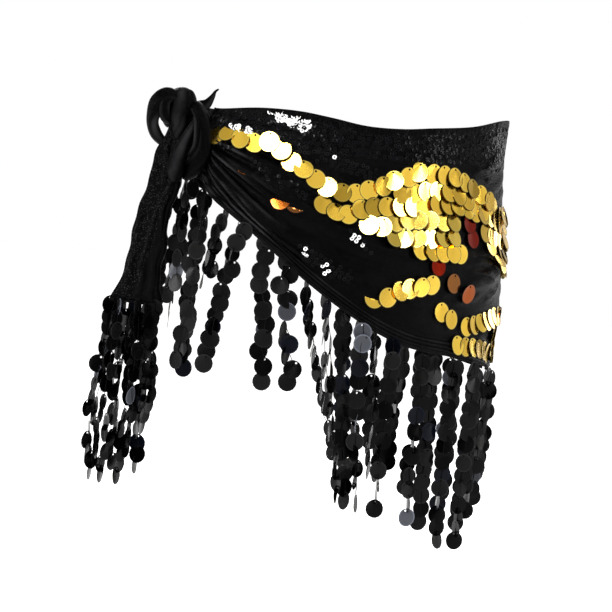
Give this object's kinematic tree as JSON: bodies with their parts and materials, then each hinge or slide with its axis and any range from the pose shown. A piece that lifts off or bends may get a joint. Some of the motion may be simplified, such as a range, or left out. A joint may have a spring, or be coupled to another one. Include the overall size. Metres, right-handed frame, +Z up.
{
  "type": "belly dance hip scarf",
  "caption": "Triangular stretch-cloth hip scarf wound round hollow hips and knotted at one side, with strands of black paillettes hanging from its hems.",
  "frame": {"origin": "middle of the waist, inside the scarf, level with the waist edge at the knot", "axes": "+Z up the wearer's body, -Y to the wearer's front, the knot at -X and the triangle's point at +X"},
  "size_m": [0.4296, 0.2922, 0.4284],
  "materials": {
    "black_cloth": "black stretch cloth with a soft sheen",
    "black_satin": "smooth side of the same cloth, a little glossier",
    "black_paillette": "glossy black plastic paillettes on thread"
  },
  "bodies": {
    "root": {"wrap_cloth": "black_cloth", "fringe_front": "black_paillette", "fringe_back": "black_paillette", "fringe_tie": "black_paillette", "tie_end": "black_cloth", "knot_gather": "black_satin", "knot_back_gather": "black_satin", "knot_core": "black_satin", "knot_loop": "black_satin", "knot_tail": "black_satin"}
  },
  "joints": []
}
